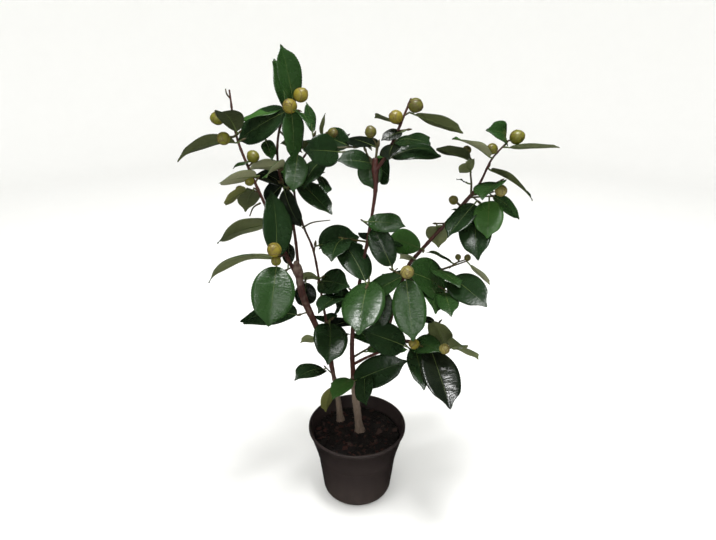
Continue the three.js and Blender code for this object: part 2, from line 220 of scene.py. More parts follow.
POT_HEIGHT = 120
RIM_RADIUS = 75
RIM_LIP = 1.2
RIM_BAND = 4
COLLAR_FOOT = 71
COLLAR_RADIUS = 62
SHOULDER = 0.9
BASE_RADIUS = 54
CORNER_RADIUS = 9
WALL = 1.6
DRAIN_HOLES = 6
DRAIN_RADIUS = 4.5
DRAIN_CIRCLE = 36


def turned(name, profile):
    """A closed solid drawn up through a profile, with a fan over its last ring."""
    made = drawn_up(name, profile)
    bpy.ops.mesh.edge_face_add()
    bpy.ops.mesh.poke()
    bpy.ops.mesh.select_all(action="SELECT")
    bpy.ops.mesh.normals_make_consistent(inside=False)
    bpy.ops.object.mode_set(mode="OBJECT")
    return made


def inside_radius(height):
    """Inside radius of the pot at a height, which the potting mix follows too."""
    shoulder = COLLAR_RADIUS - SHOULDER - WALL
    rim = RIM_RADIUS - RIM_LIP - WALL
    if height > COLLAR_FOOT:
        return shoulder + (rim - shoulder) * (height - COLLAR_FOOT) / (POT_HEIGHT - COLLAR_FOOT)
    return BASE_RADIUS - WALL + (shoulder - BASE_RADIUS + WALL) * height / COLLAR_FOOT


rim_inside = inside_radius(POT_HEIGHT)
pot_profile = [
    *arc(BASE_RADIUS - CORNER_RADIUS, CORNER_RADIUS, CORNER_RADIUS, -90, 0, 8),
    (COLLAR_RADIUS - SHOULDER - 0.1, COLLAR_FOOT - 2.2),
    *arc(COLLAR_RADIUS - 0.6, COLLAR_FOOT - 0.4, 0.7, -90, 0, 4),
    (COLLAR_RADIUS + 0.5, COLLAR_FOOT + 3),
    (RIM_RADIUS - RIM_LIP - 0.3, POT_HEIGHT - RIM_BAND - 1.5),
    *arc(RIM_RADIUS - 0.8, POT_HEIGHT - RIM_BAND, 0.8, -60, 0, 3),
    *arc(RIM_RADIUS - 0.9, POT_HEIGHT - 0.9, 0.9, 0, 90, 4),
    *arc(rim_inside + 0.7, POT_HEIGHT - 0.7, 0.7, 90, 180, 3),
    (inside_radius(COLLAR_FOOT + 1), COLLAR_FOOT + 1),
    (inside_radius(COLLAR_FOOT - 1), COLLAR_FOOT - 1),
    *arc(BASE_RADIUS - CORNER_RADIUS, CORNER_RADIUS, CORNER_RADIUS - WALL, 0, -90, 6),
]
pot = turned("nursery_pot", pot_profile)

for hole in range(DRAIN_HOLES):
    angle = 2 * math.pi * (hole + 0.5) / DRAIN_HOLES
    bpy.ops.object.select_all(action="DESELECT")
    bpy.ops.mesh.primitive_cylinder_add(
        vertices=24,
        radius=DRAIN_RADIUS * MM,
        depth=4 * WALL * MM,
        location=(DRAIN_CIRCLE * math.cos(angle) * MM, DRAIN_CIRCLE * math.sin(angle) * MM, 0),
    )
    drill = bpy.context.object
    cut = pot.modifiers.new("drain_hole", "BOOLEAN")
    cut.operation = "DIFFERENCE"
    cut.object = drill
    bpy.context.view_layer.objects.active = pot
    bpy.ops.object.modifier_apply(modifier=cut.name)
    bpy.data.objects.remove(drill)


def selected_alone(piece):
    """Selects a piece and nothing else, and makes it the active one."""
    bpy.ops.object.select_all(action="DESELECT")
    piece.select_set(True)
    bpy.context.view_layer.objects.active = piece


selected_alone(pot)
bpy.ops.object.shade_smooth_by_angle(angle=math.radians(40))

# Recycled polypropylene, injection moulded: a grey-brown black with a soft sheen, faintly mottled
# from the mixed regrind, and dusty in the lower half where it has stood outside.
MOTTLE_MM = 9
GRAIN_MM = 0.8
DUST_TOP = 0.055
pot_plastic, tree, shader = new_material("moulded_recycled_polypropylene", "3a3330", 0.42)
place = object_place(tree)
mottle = cloudy(tree, place, 1000 / MOTTLE_MM, 4)
height = add_node(tree, "ShaderNodeSeparateXYZ", inputs={0: place}).outputs["Z"]
dust = spread(tree, height, 0, 0.5, DUST_TOP, 0)
dusty = calculated(tree, "MULTIPLY", dust, mottle)
regrind = between(tree, mottle, linear("292120"), linear("342b29"))
dusted = between(tree, dusty, regrind, linear("5c524b"))
tree.links.new(dusted, shader.inputs["Base Color"])
tree.links.new(spread(tree, mottle, 0.34, 0.52), shader.inputs["Roughness"])
raised(tree, shader, cloudy(tree, place, 1000 / GRAIN_MM, 2), 0.25, 0.05)
pot.data.materials.append(pot_plastic)
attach(pot, "root")
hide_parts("pot")


# ---------------------------------------------------------------------------------------------
# Potting mix: moist composted bark. It fills the pot to two centimetres under the rim, crumbly on
# top, with loose bark chips pressed into it.

SOIL_LEVEL = 102
SOIL_GAP = 0.3
SOIL_EDGE = 3
CRUMB_MM = 6
soil_edge_radius = inside_radius(SOIL_LEVEL - SOIL_EDGE) - SOIL_GAP
SOIL_RINGS = 22
soil_profile = [
    (BASE_RADIUS - CORNER_RADIUS - 1, WALL + SOIL_GAP),
    (inside_radius(CORNER_RADIUS) - SOIL_GAP, CORNER_RADIUS + 1),
    (inside_radius(COLLAR_FOOT) - SOIL_GAP, COLLAR_FOOT),
    (soil_edge_radius, SOIL_LEVEL - SOIL_EDGE),
]
soil_profile += [
    (soil_edge_radius * (1 - i / SOIL_RINGS), SOIL_LEVEL - SOIL_EDGE * math.exp(-i / 2))
    for i in range(1, SOIL_RINGS)
]
potting_mix = turned("potting_mix", soil_profile)


def crumbs(x, y):
    """Height of the crumbly top above its mean level at a place, all in millimetres."""
    here = Vector((x, y, 0)) / CRUMB_MM
    coarse = noise.noise(here * 0.45)
    return 2.2 * coarse + 1.5 * abs(noise.noise(here)) + 0.5 * noise.noise(here * 2.7)


for vertex in potting_mix.data.vertices:
    x, y, z = vertex.co / MM
    if z > SOIL_LEVEL - SOIL_EDGE / 2:
        vertex.co.z += crumbs(x, y) * MM
bpy.ops.object.shade_smooth()

# Composted bark fines: almost black when moist, red-brown where it has dried.
peat, tree, shader = new_material("moist_composted_bark", "1c130f", 0.85)
place = object_place(tree)
dried = spread(tree, cloudy(tree, place, 220, 6), 0, 1, 0.42, 0.68)
shade = between(tree, dried, linear("0b0807"), linear("1d110d"))
tree.links.new(shade, shader.inputs["Base Color"])
fines = add_node(tree, "ShaderNodeTexVoronoi", inputs={"Vector": place, "Scale": 420})
raised(tree, shader, fines.outputs["Distance"], 0.9, 0.8)
potting_mix.data.materials.append(peat)
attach(potting_mix, "root")
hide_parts("soil")


def joined(name, pieces):
    """Joins mesh objects into the first of them, under a new name."""
    bpy.ops.object.select_all(action="DESELECT")
    for piece in pieces:
        piece.select_set(True)
    bpy.context.view_layer.objects.active = pieces[0]
    if len(pieces) > 1:
        bpy.ops.object.join()
    bpy.context.object.name = name
    bpy.context.object.data.name = name
    return bpy.context.object


def copied(piece):
    """A copy of a piece, with a mesh of its own."""
    made = piece.copy()
    made.data = piece.data.copy()
    bpy.context.scene.collection.objects.link(made)
    return made


# One chip of bark: a flake with a split, uneven outline.
CHIPS = 430
chip_random = random.Random(11)
bpy.ops.object.select_all(action="DESELECT")
bpy.ops.mesh.primitive_cube_add(size=1)
chip = bpy.context.object
bpy.ops.object.mode_set(mode="EDIT")
bpy.ops.mesh.subdivide(number_cuts=1)
bpy.ops.object.mode_set(mode="OBJECT")

chips = []
for _ in range(CHIPS):
    flake = copied(chip)
    length = chip_random.choice([3, 4, 5, 6, 8, 11]) * chip_random.uniform(0.8, 1.25)
    width = length * chip_random.uniform(0.3, 0.7)
    thickness = chip_random.uniform(0.6, 1.8)
    for vertex in flake.data.vertices:
        ragged = [chip_random.uniform(0.68, 1.12) for _ in range(3)]
        sizes = zip(vertex.co, (length, width, thickness), ragged)
        vertex.co = [corner * size * uneven for corner, size, uneven in sizes]
    angle = chip_random.uniform(0, 2 * math.pi)
    away = (soil_edge_radius - 4) * math.sqrt(chip_random.random())
    x, y = away * math.cos(angle), away * math.sin(angle)
    lie = Matrix.Rotation(chip_random.uniform(0, math.pi), 4, "Z")
    lie = lie @ Matrix.Rotation(chip_random.gauss(0, 0.3), 4, "X")
    lie = lie @ Matrix.Rotation(chip_random.gauss(0, 0.25), 4, "Y")
    rest = SOIL_LEVEL + crumbs(x, y) + thickness * 0.3
    place_of_chip = Matrix.Scale(MM, 4) @ Matrix.Translation((x, y, rest)) @ lie
    flake.data.transform(place_of_chip)
    chips.append(flake)
bpy.data.objects.remove(chip)

# Chips of pine bark: red-brown, dark when wet and buff where they have weathered.
CHIP_COLOURS = {
    "wet": ("150d0a", 14), "red": ("33150d", 4),
    "brown": ("33201a", 1.5), "buff": ("7a6650", 0.15),
}
chip_materials = []
for name, (colour, _) in CHIP_COLOURS.items():
    made, tree, shader = new_material("pine_bark_" + name, colour, 0.8)
    raised(tree, shader, cloudy(tree, object_place(tree), 900, 3), 0.6, 0.3)
    chip_materials.append(made)
chip_shares = [share for _, share in CHIP_COLOURS.values()]
for flake in chips:
    for made in chip_materials:
        flake.data.materials.append(made)
    shade_index = chip_random.choices(range(len(chip_materials)), chip_shares)[0]
    for face in flake.data.polygons:
        face.material_index = shade_index
bark_chips = joined("bark_chips", chips)
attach(bark_chips, "root")


# ---------------------------------------------------------------------------------------------
# Stems and boughs. Two stems stand in the pot, a thin one forks from the left one, and boughs
# fork from all. Old wood at the foot has thin grey-beige bark with shallow cracks, and the young
# wood above is smooth and red-brown.

FLARE_REACH = 7
LIMBS = {
    # name: (points from foot to tip, radii spread evenly from foot to tip, root flare)
    "stem_middle": (
        [(5, 4, 96), (0, 4, 142), (-5, 1, 200), (-7, -3, 270), (2, -10, 355), (16, -12, 440),
         (24, -10, 500), (23, -8, 530)],
        [5.8, 5.6, 3.8, 3.2, 2.6, 2.2, 2.1, 3.6], 3,
    ),
    "stem_left": (
        [(-26, 30, 96), (-33, 25, 170), (-47, 15, 250), (-61, 9, 292), (-76, 3, 340),
         (-81, -2, 385)],
        [5.2, 4, 3.4, 3.4, 4.6, 5.4, 5.2], 2,
    ),
    "stem_thin": (
        [(-35, 22, 190), (-42, 17, 265), (-50, 16, 328), (-61, 20, 403), (-73, 22, 436),
         (-84, 26, 486), (-75, 28, 520), (-62, 28, 540)],
        [2.2, 1.8, 1.4], 0,
    ),
    "bough_left_outer": (
        [(-80, 0, 365), (-95, -10, 408), (-104, -14, 440), (-116, -18, 477), (-132, -20, 522),
         (-146, -16, 565), (-151, -10, 618)],
        [3.1, 2.4, 2, 1.7, 1.2], 0,
    ),
    "bough_left_inner": (
        [(-80, 0, 380), (-83, 2, 430), (-90, 6, 478), (-99, 8, 509), (-101, 8, 541), (-95, 5, 573),
         (-84, 2, 595)],
        [2.3, 2, 1.7, 1.5], 0,
    ),
    "bough_front_left": ([(-94, -8, 400), (-94, -30, 415), (-97, -70, 426)], [2, 1.5], 0),
    "bough_right": (
        [(-3, 3, 168), (13, 9, 184), (31, 14, 210), (44, 18, 267), (59, 20, 340), (74, 20, 382)],
        [3.6, 3.2, 2.9], 0,
    ),
    "bough_right_outer": (
        [(74, 20, 382), (92, 20, 405), (123, 20, 443), (152, 20, 480)], [2.8, 2.5, 2.6], 0,
    ),
    "bough_right_upper": (
        [(152, 20, 480), (163, 20, 498), (175, 20, 528), (195, 20, 553)], [1.9, 1.5, 1.2], 0,
    ),
    "bough_middle_right": (
        [(24, -9, 520), (37, -12, 541), (49, -14, 569), (65, -10, 608)], [2.4, 1.9, 1.4], 0,
    ),
    "bough_lower_right": (
        [(-5, 0, 228), (15, -6, 244), (40, -14, 261), (68, -20, 280), (95, -28, 278),
         (120, -34, 273)],
        [2.4, 1.9, 1.5], 0,
    ),
    "bough_front_middle": ([(0, -8, 340), (6, -25, 362), (16, -42, 382)], [2, 1.5], 0),
    "bough_front_right": ([(62, 20, 350), (66, -10, 374), (64, -42, 388)], [2, 1.5], 0),
}
STUBS = {
    # A bough was cut back to a knob at the top of the left stem, and has healed over.
    "knob": (
        [(-79, 1, 370), (-81, -3, 382), (-82, -5, 391), (-82, -6, 395)], [5.6, 7, 6.4, 3.2], 0,
    ),
    "swollen_top": ([(24, -10, 506), (23, -8, 522), (23, -7, 536)], [3, 4.6, 3.4], 0),
}


def smooth_line(points, spacing):
    """Places set evenly along the smooth curve through the points: a centripetal Catmull-Rom
    curve, the same as the solid limbs follow."""
    points = [Vector(point) for point in points]
    framed = [2 * points[0] - points[1], *points, 2 * points[-1] - points[-2]]
    fine = []
    for before, start, end, after in zip(framed, framed[1:], framed[2:], framed[3:]):
        first = (start - before).length ** 0.5
        middle = (end - start).length ** 0.5
        last = (after - end).length ** 0.5
        leave = (start - before) / first - (end - before) / (first + middle)
        leave = (leave + (end - start) / middle) * middle
        arrive = (end - start) / middle - (after - start) / (middle + last)
        arrive = (arrive + (after - end) / last) * middle
        for i in range(24):
            t = i / 24
            bend = leave + (3 * (end - start) - 2 * leave - arrive) * t
            bend += (2 * (start - end) + leave + arrive) * t * t
            fine.append(start + bend * t)
    fine.append(points[-1])
    runs = [0]
    for a, b in zip(fine, fine[1:]):
        runs.append(runs[-1] + (b - a).length)
    count = max(2, round(runs[-1] / spacing))
    even = []
    j = 0
    for i in range(count + 1):
        run = runs[-1] * i / count
        while j < len(fine) - 2 and runs[j + 1] < run:
            j += 1
        even.append(fine[j].lerp(fine[j + 1], (run - runs[j]) / (runs[j + 1] - runs[j])))
    return even


def at(values, along):
    """The value a fraction of the way along an evenly spaced list."""
    spot = min(max(along, 0), 1) * (len(values) - 1)
    low = min(int(spot), len(values) - 2)
    share = spot - low
    return values[low] * (1 - share) + values[low + 1] * share


def tubes(name, lines, resolution):
    """One mesh of round tubes. A line is a list of (place, radius) in millimetres."""
    curve = bpy.data.curves.new(name, "CURVE")
    curve.dimensions = "3D"
    curve.bevel_depth = MM
    curve.bevel_resolution = resolution
    curve.use_fill_caps = True
    for line in lines:
        spline = curve.splines.new("POLY")
        spline.points.add(len(line) - 1)
        for point, (place_of_ring, radius) in zip(spline.points, line):
            point.co = (*(place_of_ring * MM), 1)
            point.radius = radius
        spline.use_smooth = True
    made = bpy.data.objects.new(name, curve)
    bpy.context.scene.collection.objects.link(made)
    selected_alone(made)
    bpy.ops.object.convert(target="MESH")
    made = bpy.context.object
    bpy.ops.object.mode_set(mode="EDIT")
    bpy.ops.mesh.select_all(action="SELECT")
    bpy.ops.mesh.remove_doubles(threshold=0.001 * MM)
    bpy.ops.mesh.normals_make_consistent(inside=False)
    bpy.ops.object.mode_set(mode="OBJECT")
    return made


WOOD_STEP = 2
wood = {}
for name, (points, radii, flare) in {**LIMBS, **STUBS}.items():
    line = smooth_line(points, WOOD_STEP)
    rings = []
    for i, spot in enumerate(line):
        radius = at(radii, i / (len(line) - 1))
        above_soil = spot.z - SOIL_LEVEL
        if flare:
            radius += flare * math.exp(-max(above_soil, -2) / FLARE_REACH)
        rings.append((spot, radius))
    wood[name] = rings

OLD_WOOD_TOP = 235
AGE_LEFT_TOP = 0.3
AGE_KNOB = 0.45
# Relief of the bark in millimetres: cracks and lumps of old wood, and lumps and the rings left by
# leaf scars on young wood.
CRACKS = 0.8
OLD_LUMPS = 0.5
YOUNG_LUMPS = 0.12
SCAR_RINGS = 0.3
SCAR_SPACING = 26


def bark_age(name, spot):
    """How old the bark looks at a place: 1 is grey and cracked, 0 is red and smooth."""
    if name == "knob":
        return AGE_KNOB
    if name == "stem_left" and spot.z > 310:
        return AGE_LEFT_TOP
    if name.startswith("stem"):
        return max(0.0, min(1.0, (OLD_WOOD_TOP - spot.z) / 90))
    if name == "bough_right":
        return max(0.0, min(0.7, (OLD_WOOD_TOP - spot.z) / 110))
    return 0.0


def barked(name, limb_names, voxel):
    """Fuses limbs into one skin, smooths their forks and gives the skin the relief of bark: long
    shallow cracks in old wood, and rings with leaf scars every couple of centimetres in young."""
    made = tubes(name, [wood[limb] for limb in limb_names], 4)
    fuse = made.modifiers.new("fuse", "REMESH")
    fuse.mode = "VOXEL"
    fuse.voxel_size = voxel * MM
    fuse.use_smooth_shade = True
    bpy.ops.object.modifier_apply(modifier=fuse.name)
    soften = made.modifiers.new("soften", "SMOOTH")
    soften.factor = 0.5
    soften.iterations = 5
    bpy.ops.object.modifier_apply(modifier=soften.name)
    marks = [(limb, i, spot) for limb in limb_names for i, (spot, _) in enumerate(wood[limb])]
    nearest = KDTree(len(marks))
    for index, (_, _, spot) in enumerate(marks):
        nearest.insert(spot, index)
    nearest.balance()
    ages = made.data.attributes.new("age", "FLOAT", "POINT")
    relief = []
    for vertex in made.data.vertices:
        spot = vertex.co / MM
        _, index, _ = nearest.find(spot)
        limb, i, _ = marks[index]
        age = bark_age(limb, spot)
        ages.data[vertex.index].value = age
        stretched = Vector((spot.x / 1.5, spot.y / 1.5, spot.z / 8))
        cracks = abs(noise.noise(stretched)) + 0.5 * noise.noise(stretched * 2.3)
        lumps = noise.noise(spot / 7)
        ring = (i * WOOD_STEP) % SCAR_SPACING - SCAR_SPACING / 2
        swelling = math.exp(-ring * ring / 5) * (1 - age)
        lift = age * (CRACKS * cracks + OLD_LUMPS * lumps) + YOUNG_LUMPS * lumps
        relief.append(vertex.normal * (lift + SCAR_RINGS * swelling) * MM)
    for vertex, move in zip(made.data.vertices, relief):
        vertex.co += move
    return made


stem_names = [name for name in LIMBS if name.startswith("stem")]
bough_names = [name for name in LIMBS if name.startswith("bough")]
stems = barked("stems", [*stem_names, *STUBS], 0.75)
boughs = barked("boughs", bough_names, 0.62)

# Thin camellia bark: a mat grey-beige skin over the old wood, worn through in places to the
# red-brown below, and smooth red-brown on the young wood. The attribute says which.
bark, tree, shader = new_material("camellia_bark", "6b4a3a", 0.72)
place = object_place(tree)
old = add_node(tree, "ShaderNodeAttribute", {"attribute_name": "age"}).outputs["Fac"]
upright = add_node(tree, "ShaderNodeMapping", inputs={"Vector": place, "Scale": (1, 1, 0.18)})
streaks = cloudy(tree, upright.outputs[0], 560, 5)
young_tone = between(tree, streaks, linear("2b1613"), linear("552a21"))
old_tone = between(tree, streaks, linear("43362e"), linear("7d6d5e"))
edge = calculated(tree, "ADD", old, cloudy(tree, place, 130, 3))
share = spread(tree, edge, 0, 1, 0.75, 1.05)
tone = between(tree, share, young_tone, old_tone)
tree.links.new(tone, shader.inputs["Base Color"])
tree.links.new(spread(tree, share, 0.5, 0.85), shader.inputs["Roughness"])
raised(tree, shader, streaks, 0.5, 0.3)
for piece in (stems, boughs):
    piece.data.materials.append(bark)
    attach(piece, "root")
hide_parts(*stem_names)
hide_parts(*bough_names)


# ---------------------------------------------------------------------------------------------
# Green twigs. A shoot leaves a limb at a fraction of its length and ends at a tip. It bends a
# little at each leaf, and a slender leaf bud closes it where no flower bud does.

# Each piece of leaves holds masses, and each mass its shoots: the limb, how far along the limb the
# shoot leaves it, its tip, and its leaves in turn. A leaf is its heading, pitch, length, width as a
# share of the length, roll, droop and tone. The last two may be left out.
CROWN = {
    "leaves_left": {
        "foliage_top": [
            ("bough_left_inner", 1, (-87, 3, 587), [(110, 50, 75, 0.5, -35, 30, "green")]),
            ("bough_left_inner", 0.97, (-83, 10, 597), [(-165, -15, 60, 0.55, 5, 0, "bright")]),
            ("bough_left_inner", 1, (-79, -7, 601), [(-90, -80, 60, 0.55, 45, 20, "green")]),
            ("bough_left_inner", 1, (-79, -8, 596), [(165, -30, 80, 0.55, 55, 20, "dark")]),
            ("bough_left_inner", 1, (-74, 6, 592), [(-70, -10, 50, 0.55, 25, 30, "green")]),
            ("bough_left_inner", 0.86, (-73, -2, 546), [(-100, -55, 50, 0.6, 15, 20, "green")]),
            ("bough_left_inner", 1, (-76, 0, 597), [(180, 80, 65, 0.55, 45, 10, "green")]),
        ],
        "foliage_upper_left": [
            ("bough_left_outer", 0.77, (-141, -16, 559), [(-160, -15, 75, 0.55, -30, 50, "dark")]),
            ("bough_left_outer", 0.8, (-143, -18, 568), [(-95, 30, 60, 0.5, -5, 40, "deep")]),
        ],
        "foliage_left": [
            ("bough_left_outer", 0.65, (-125, -15, 536), [(-150, -15, 25, 0.55, 0, 40, "green")]),
            ("bough_left_outer", 0.52, (-137, -13, 498), [(-115, -5, 45, 0.55, -60, 0, "old")]),
            ("bough_left_outer", 0.53, (-128, -24, 502), [(120, -45, 55, 0.55, -15, 50, "dark")]),
            ("bough_left_outer", 0.57, (-122, -14, 515), [(-125, 5, 60, 0.55, -40, 10, "bright")]),
            ("bough_left_outer", 0.33, (-110, -10, 451), [(-140, -5, 75, 0.55, -50, 30, "green")]),
        ],
        "foliage_inner_left": [
            ("bough_left_inner", 0.62, (-82, -6, 528), [(160, -10, 55, 0.6, -35, 0, "bright")]),
            ("bough_left_inner", 0.49, (-88, -5, 497), [(135, 5, 65, 0.6, 5, 40, "deep")]),
            ("bough_left_inner", 0.63, (-91, 3, 524), [(-105, 0, 55, 0.55, -45, 20, "bright")]),
            ("bough_left_inner", 0.72, (-119, 28, 554), [(-70, -25, 40, 0.45, -10, 30, "green")]),
            ("bough_left_inner", 0.51, (-95, 4, 501), [(125, -45, 60, 0.6, 80, 40, "deep")]),
            ("bough_left_inner", 0.54, (-97, 6, 499), [(-35, -60, 55, 0.5, -75, 50, "deep")]),
        ],
        "foliage_front_left": [
            ("bough_front_left", 1, (-94, -71, 429), [(-175, -20, 95, 0.5, -30, 70, "green")]),
            ("bough_left_outer", 0.09, (-93, -11, 386), [(85, 65, 30, 0.6, -10, 30, "deep")]),
            ("bough_front_left", 1, (-99, -69, 420), [(100, 60, 85, 0.55, -40, 30, "dark")]),
            ("bough_front_left", 1, (-97, -74, 425), [(-100, -55, 75, 0.7, 20, 30, "green")]),
        ],
        "foliage_middle_left": [
            ("stem_thin", 0.47, (-49, 11, 364), [(140, -20, 45, 0.55, -45, 30, "green")]),
            ("stem_left", 0.88, (-74, 35, 352), [(-105, -80, 40, 0.8, 20, 90, "deep")]),
            ("stem_thin", 0.5, (-55, 20, 355), [(-55, 15, 75, 0.55, -45, 30, "dark")]),
        ],
        "foliage_low_left": [
            ("stem_left", 0.53, (-57, 21, 260), [(140, -30, 40, 0.45, -60, 30, "green")]),
            ("stem_left", 0.75, (-78, -6, 315), [(165, -15, 95, 0.6, 10, 30, "dark")]),
            ("stem_left", 0.64, (-39, 4, 300), [(-90, -25, 70, 0.7, 15, 50, "dark")]),
        ],
        "foliage_base": [
            ("stem_left", 0.33, (-47, 20, 208), [(-125, 15, 70, 0.5, 10, 40, "dark")]),
            ("stem_middle", 0.22, (-7, 2, 205), [(-120, -5, 50, 0.6, 5, 30, "bright")]),
            ("stem_left", 0.28, (-36, 21, 180), [(155, -75, 55, 0.55, -25, 20, "old")]),
        ],
        "foliage_back_left": [
            ("bough_left_inner", 0.5, (-96, 60, 480), [
                (60, -10, 70, 0.55, 0, 30, "deep"), (110, -5, 75, 0.55, 0),
                (85, 10, 70, 0.5, 0, 30, "bright"),
            ]),
        ],
        "foliage_back_lower_left": [
            ("stem_left", 0.58, (-45, 60, 262), [
                (60, -30, 70, 0.55, 0), (50, -15, 70, 0.55, 0, 30, "deep"),
                (100, -20, 80, 0.5, 0, 30, "dark"),
            ]),
        ],
    },
    "leaves_middle": {
        "foliage_upper_centre": [
            ("stem_thin", 0.9, (-52, 32, 508), [(-75, -15, 50, 0.45, 30, 30, "dark")]),
            ("stem_thin", 1, (-56, 27, 555), [(115, 65, 40, 0.45, -15, 10, "green")]),
            ("stem_thin", 1, (-46, 34, 554), [(-75, 55, 35, 0.45, -55, 0, "green")]),
            ("stem_thin", 1, (-6, 25, 543), [(130, 5, 55, 0.6, 55, 40, "dark")]),
            ("stem_thin", 1, (-42, 30, 529), [(-115, -25, 60, 0.55, 0, 40, "dark")]),
            ("stem_thin", 1, (-63, 35, 536), [(-125, 20, 50, 0.55, -25, 40, "dark")]),
            ("stem_thin", 0.86, (-83, 28, 503), [(-40, -30, 70, 0.5, -10, 10, "dark")]),
            ("stem_thin", 1, (-19, 18, 538), [(-140, 10, 55, 0.75, 75, 30, "dark")]),
        ],
        "foliage_upper_middle": [
            ("stem_middle", 1, (26, -8, 549), [(120, 0, 70, 0.5, 10, 10, "deep")]),
            ("stem_middle", 0.99, (24, 1, 527), [(-150, 10, 50, 0.6, 45, 30, "dark")]),
            ("stem_middle", 0.97, (12, 3, 541), [(-45, -75, 40, 0.8, -45, 0, "green")]),
            ("stem_middle", 0.99, (19, -3, 531), [(65, -30, 65, 0.55, -90, 10, "dark")]),
        ],
        "foliage_middle_right": [
            ("bough_middle_right", 0.2, (39, -14, 538), [
                (35, -5, 85, 0.6, -25, 70, "dark"), (105, -10, 35, 0.5, 15, 30, "bright"),
            ]),
            ("bough_middle_right", 0.5, (46, -13, 557), [
                (-60, 5, 65, 0.5, -20, 20, "dark"), (-100, -10, 50, 0.55, -20, 20, "deep"),
            ]),
            ("bough_middle_right", 0.62, (52, -12, 578), [(115, 0, 60, 0.4, -30, 10, "green")]),
            ("bough_middle_right", 0.78, (63, -14, 592), [(5, -20, 65, 0.5, 30, 0, "dark")]),
            ("bough_middle_right", 0.58, (60, -11, 571), [(-150, -15, 30, 0.6, 30, 30, "deep")]),
        ],
        "foliage_centre": [
            ("stem_thin", 0.58, (-58, 18, 408), [(45, -5, 80, 0.6, -55, 10, "dark")]),
            ("stem_middle", 0.76, (-20, 18, 420), [(-100, -5, 65, 0.6, -5, 40, "dark")]),
            ("stem_middle", 0.81, (8, -22, 458), [(-20, 0, 50, 0.6, -40, 30, "green")]),
        ],
        "foliage_lower_centre": [
            ("stem_middle", 0.55, (-12, -8, 345), [(-120, 5, 70, 0.5, -5, 50, "dark")]),
            ("stem_middle", 0.58, (-8, -23, 361), [(120, -50, 60, 0.6, 70, 30, "dark")]),
            ("stem_middle", 0.57, (39, -11, 361), [(-110, -60, 55, 0.55, 25, 20, "dark")]),
            ("bough_front_middle", 1, (14, -49, 381), [(120, 25, 85, 0.55, -5, 40, "dark")]),
            ("bough_front_middle", 1, (16, -37, 385), [(-100, -25, 85, 0.65, -5, 30, "green")]),
        ],
        "foliage_low_centre": [
            ("stem_middle", 0.27, (13, 4, 216), [(-90, -15, 60, 0.55, -35, 30, "dark")]),
            ("stem_middle", 0.21, (13, 6, 192), [(-85, 20, 45, 0.5, -25)]),
            ("stem_middle", 0.24, (29, -3, 219), [(140, -45, 65, 0.55, 45, 40)]),
            ("stem_middle", 0.23, (-9, -6, 200), [(-10, 30, 90, 0.5, -55, 40, "dark")]),
        ],
        "foliage_back_top": [
            ("stem_thin", 1, (-25, 75, 545), [
                (130, -10, 70, 0.55, 0, 30, "dark"), (40, -15, 75, 0.55, 0), (95, -15, 75, 0.5, 0),
            ]),
        ],
        "foliage_back_middle": [
            ("stem_middle", 0.72, (18, 48, 405), [
                (150, -10, 75, 0.55, 0, 30, "dark"), (30, -10, 75, 0.55, 0), (85, -15, 80, 0.5, 0),
            ]),
        ],
        "foliage_back_low": [
            ("stem_middle", 0.33, (42, 50, 240), [
                (20, -10, 70, 0.55, 0, 30, "bright"), (110, -15, 75, 0.55, 0, 30, "green"),
                (80, -20, 75, 0.5, 0),
            ]),
        ],
    },
    "leaves_right": {
        "foliage_upper_right": [
            ("bough_right_upper", 0.64, (176, 18, 530), [(-155, 25, 65, 0.5, -5, 20, "bright")]),
            ("bough_right_upper", 0.95, (194, 24, 551), [(-135, 20, 55, 0.55, 65, 80, "green")]),
            ("bough_right_upper", 0.95, (187, 14, 545), [(0, 0, 65, 0.65, 20, 0, "green")]),
            ("bough_right_upper", 0.42, (172, 24, 516), [(-60, -15, 80, 0.4, 40, 20, "dark")]),
        ],
        "foliage_fork": [
            ("bough_right_outer", 1, (149, 22, 526), [
                (-170, 20, 15, 0.5, 0), (-110, 25, 50, 0.5, -45, 20, "green"),
                (-145, 20, 60, 0.5, -25, 10, "deep"),
            ]),
        ],
        "foliage_right": [
            ("bough_right_outer", 1, (173, 9, 487), [(-5, -40, 50, 0.5, -35, 40, "green")]),
            ("bough_right_outer", 1, (160, 16, 474), [(-135, -30, 65, 0.55, 0, 10, "dark")]),
            ("bough_right_outer", 0.97, (174, 9, 482), [(-100, -45, 55, 0.7, -5, 30, "bright")]),
            ("bough_right_outer", 0.78, (161, 28, 454), [(-95, -30, 80, 0.55, -15, 50, "dark")]),
            ("bough_right_outer", 0.6, (107, 10, 444), [(75, -50, 60, 0.55, 10, 30, "green")]),
            ("bough_right_outer", 1, (188, 18, 500), [(-120, -5, 65, 0.6, -15, 30, "green")]),
        ],
        "foliage_centre_right": [
            ("bough_right_outer", 0.25, (92, 14, 405), [(125, -5, 75, 0.5, 55, 50, "bright")]),
            ("bough_right_outer", 0.05, (86, -2, 394), [(120, -15, 45, 0.55, -40, 40, "bright")]),
            ("bough_right", 0.85, (137, 9, 385), [(-175, 25, 40, 0.6, -5, 20)]),
            ("bough_right", 0.85, (151, 8, 390), [(5, -45, 45, 0.5, 25, 0, "bright")]),
        ],
        "foliage_lower_right": [
            ("bough_front_right", 1, (64, -42, 398), [
                (170, -35, 65, 0.45, 50, 10, "green"), (40, -35, 95, 0.65, -55, 40, "green"),
            ]),
            ("bough_right", 0.97, (118, -20, 360), [
                (-85, -15, 65, 0.5, 35, 10, "green"), (-90, -5, 60, 0.5, -10, 30, "green"),
            ]),
            ("bough_right_outer", 0.05, (126, -6, 374), [
                (-65, 0, 65, 0.5, 10, 40, "green"), (-65, -5, 80, 0.55, -30, 30, "dark"),
            ]),
            ("bough_front_right", 0.95, (47, -45, 399), [(135, 55, 60, 0.55, 45, 50, "dark")]),
